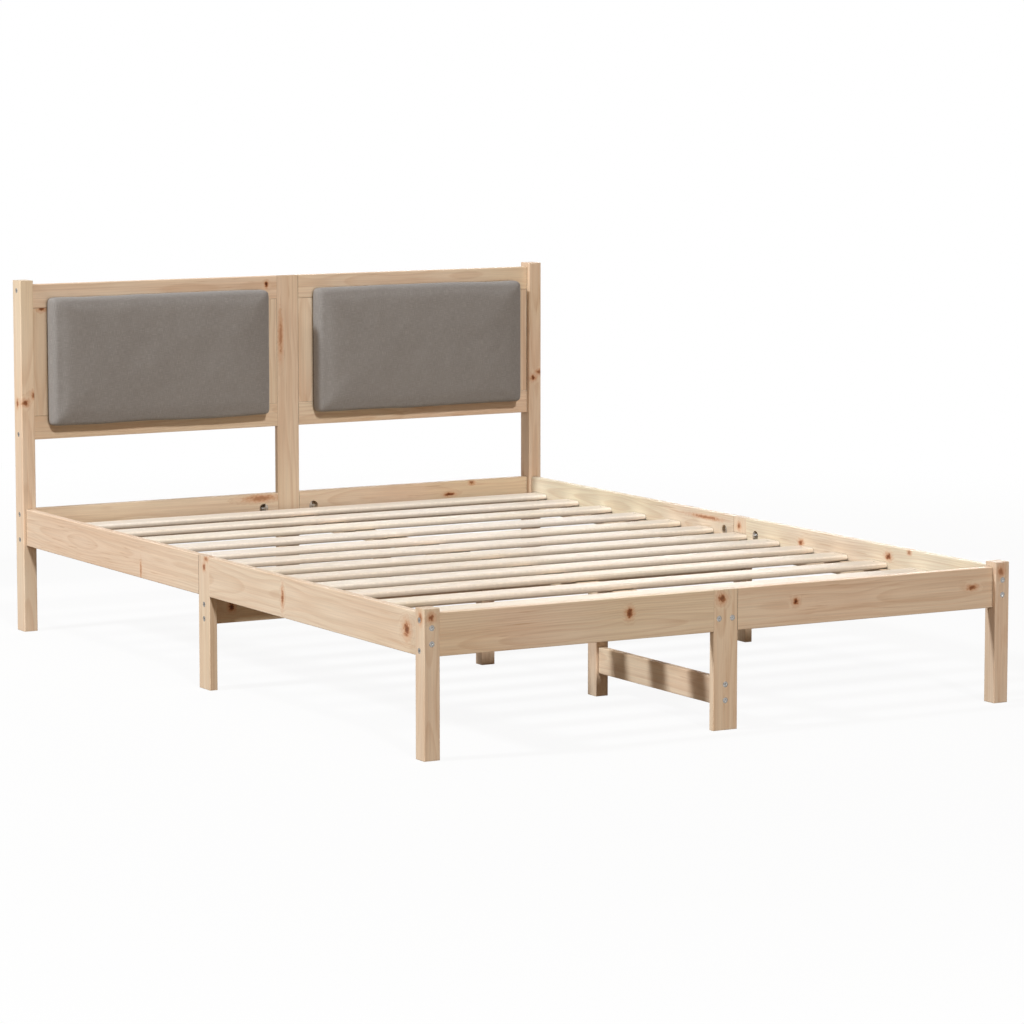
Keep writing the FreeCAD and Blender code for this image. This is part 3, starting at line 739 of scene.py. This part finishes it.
def cut_pocket(piece, side):
    """Leaves room in the pad's back for the board inside it."""
    low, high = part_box("cushion_board_" + side)
    room = Vector((POCKET_GAP, POCKET_GAP, POCKET_GAP))
    first = Vector(low) - room
    last = Vector(high) + room
    bpy.ops.mesh.primitive_cube_add(size=1.0, location=(first + last) / 2)
    block = bpy.context.object
    block.dimensions = last - first
    bpy.ops.object.transform_apply(location=True, scale=True)
    use_modifier(piece, "pocket", "BOOLEAN", operation="DIFFERENCE", solver="EXACT", object=block)
    bpy.data.objects.remove(block)


def ripple(co, cycles, shift=(0.0, 0.0, 0.0)):
    """Smooth noise at a place, with so many cycles per metre."""
    return noise.noise(Vector([part * cycle + start for part, cycle, start in zip(co, cycles, shift)]))


def cushion(side, cloth_finish):
    """Padded panel in place of the CAD cushion."""
    name = "cushion_" + side
    low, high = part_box(name)
    low = Vector(low) + Vector((CUSHION_START, CUSHION_START, CUSHION_START))
    high = Vector(high) - Vector((CUSHION_START, 0.0, CUSHION_START))
    mesh = rounded_pad(low, high)
    data = bpy.data.meshes.new("padded_" + name)
    mesh.to_mesh(data)
    mesh.free()
    piece = bpy.data.objects.new("padded_" + name, data)
    scene.collection.objects.link(piece)
    use_modifier(piece, "remesh", "REMESH", mode="VOXEL", voxel_size=CUSHION_VOXEL)
    puff(piece, high.y)
    use_modifier(piece, "ease", "SMOOTH", factor=0.5, iterations=CUSHION_EASE)
    for vertex in piece.data.vertices:
        co = vertex.co
        rim = min(1.0, max(0.0, (high.y - co.y) / CUSHION_RIM))
        wave = ripple(co, CLOTH_WAVE_CYCLES)
        fine = ripple(co, CLOTH_FINE_CYCLES, CLOTH_FINE_SHIFT)
        co.y = min(co.y + rim * (CLOTH_WAVE * wave + CLOTH_FINE * fine), high.y)
        sway = ripple(co, CLOTH_SWAY_CYCLES, CLOTH_SWAY_SHIFT)
        co.z += rim * (CLOTH_WAVE_SIDE * wave + CLOTH_SWAY * sway)
    fit_box(piece, *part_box(name))
    use_modifier(piece, "finer", "SUBSURF", levels=1, render_levels=1)
    cut_pocket(piece, side)
    piece.data.materials.clear()
    piece.data.materials.append(cloth_finish)
    for face in piece.data.polygons:
        face.use_smooth = True
    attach(piece, "root")
    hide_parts(name)


def floor_finish():
    """White floor that keeps a soft shadow in front of a white ground."""
    material = bpy.data.materials.new("floor_white")
    g = Graph(material)
    path = g.node("ShaderNodeLightPath").outputs
    seen = g.math("MAXIMUM", path["Is Camera Ray"], g.math("MULTIPLY", path["Is Glossy Ray"], FLOOR_SHEEN))
    x, y, _ = g.split(g.node("ShaderNodeTexCoord").outputs["Object"])
    away = g.math("SQRT", g.math("ADD", g.math("MULTIPLY", x, x), g.math("MULTIPLY", y, y)))
    share = g.step(away, FLOOR_FADE[0], FLOOR_FADE[1], FLOOR_GLOW, 1.0)
    matt = g.node("ShaderNodeBsdfDiffuse")
    g.feed(matt.inputs["Color"], g.mix(path["Is Camera Ray"], FLOOR_BOUNCE, FLOOR_TONE))
    glow = g.node("ShaderNodeEmission")
    glow.inputs["Color"].default_value = WHITE
    glow.inputs["Strength"].default_value = 1.0
    blend = g.node("ShaderNodeMixShader")
    g.feed(blend.inputs[0], g.math("MULTIPLY", seen, share))
    g.feed(blend.inputs[1], matt.outputs[0])
    g.feed(blend.inputs[2], glow.outputs[0])
    output = g.node("ShaderNodeOutputMaterial")
    g.feed(output.inputs[0], blend.outputs[0])
    return material


def hang(name, data, place):
    """Puts a lamp at a place, turned to the middle of the bed."""
    lamp = bpy.data.objects.new(name, data)
    scene.collection.objects.link(lamp)
    lamp.location = place
    lamp.rotation_euler = (-place).to_track_quat("-Z", "Y").to_euler()


def studio():
    """White floor, even sky, a lamp above on the left, and far lamps around the bed."""
    bpy.ops.mesh.primitive_plane_add(size=FLOOR_SIZE, location=(0.0, 0.0, -FLOOR_DROP))
    floor = bpy.context.object
    floor.name = "studio_floor"
    floor.data.materials.append(floor_finish())

    world = bpy.data.worlds.new("studio_sky")
    scene.world = world
    g = Graph(world)
    path = g.node("ShaderNodeLightPath").outputs
    lit = g.node("ShaderNodeBackground")
    lit.inputs["Color"].default_value = SKY_TINT
    lit.inputs["Strength"].default_value = SKY_LEVEL
    shown = g.node("ShaderNodeBackground")
    shown.inputs["Color"].default_value = WHITE
    shown.inputs["Strength"].default_value = 1.0
    blend = g.node("ShaderNodeMixShader")
    g.feed(blend.inputs[0], g.math("MAXIMUM", path["Is Camera Ray"], path["Is Glossy Ray"]))
    g.feed(blend.inputs[1], lit.outputs[0])
    g.feed(blend.inputs[2], shown.outputs[0])
    output = g.node("ShaderNodeOutputWorld")
    g.feed(output.inputs[0], blend.outputs[0])

    for name, (towards, level, width, tint) in FAR_LAMPS.items():
        data = bpy.data.lights.new(name, "SUN")
        data.energy = level
        data.angle = math.radians(width)
        data.color = tint
        hang(name, data, Vector(towards) * FAR_LAMP_DISTANCE)
    place, power, width, tint = LEFT_LAMP
    data = bpy.data.lights.new("left_lamp", "AREA")
    data.shape = "DISK"
    data.energy = power
    data.size = width
    data.color = tint
    hang("left_lamp", data, Vector(place))


def camera():
    """View of the photo: turned from the length of the bed and tipped down a little."""
    data = bpy.data.cameras.new("view")
    data.sensor_fit = "HORIZONTAL"
    data.sensor_width = SENSOR_WIDTH
    data.lens = CAMERA_LENS
    data.clip_end = CAMERA_REACH
    eye = bpy.data.objects.new("view", data)
    scene.collection.objects.link(eye)
    eye.location = CAMERA_PLACE
    eye.rotation_euler = (math.radians(90 - CAMERA_DIP), 0.0, math.radians(-CAMERA_TURN))
    scene.camera = eye


scene.view_settings.view_transform = "Standard"
dress_nodes()
cloth_finish = linen()
for side in ("left", "right"):
    cushion(side, cloth_finish)
studio()
camera()
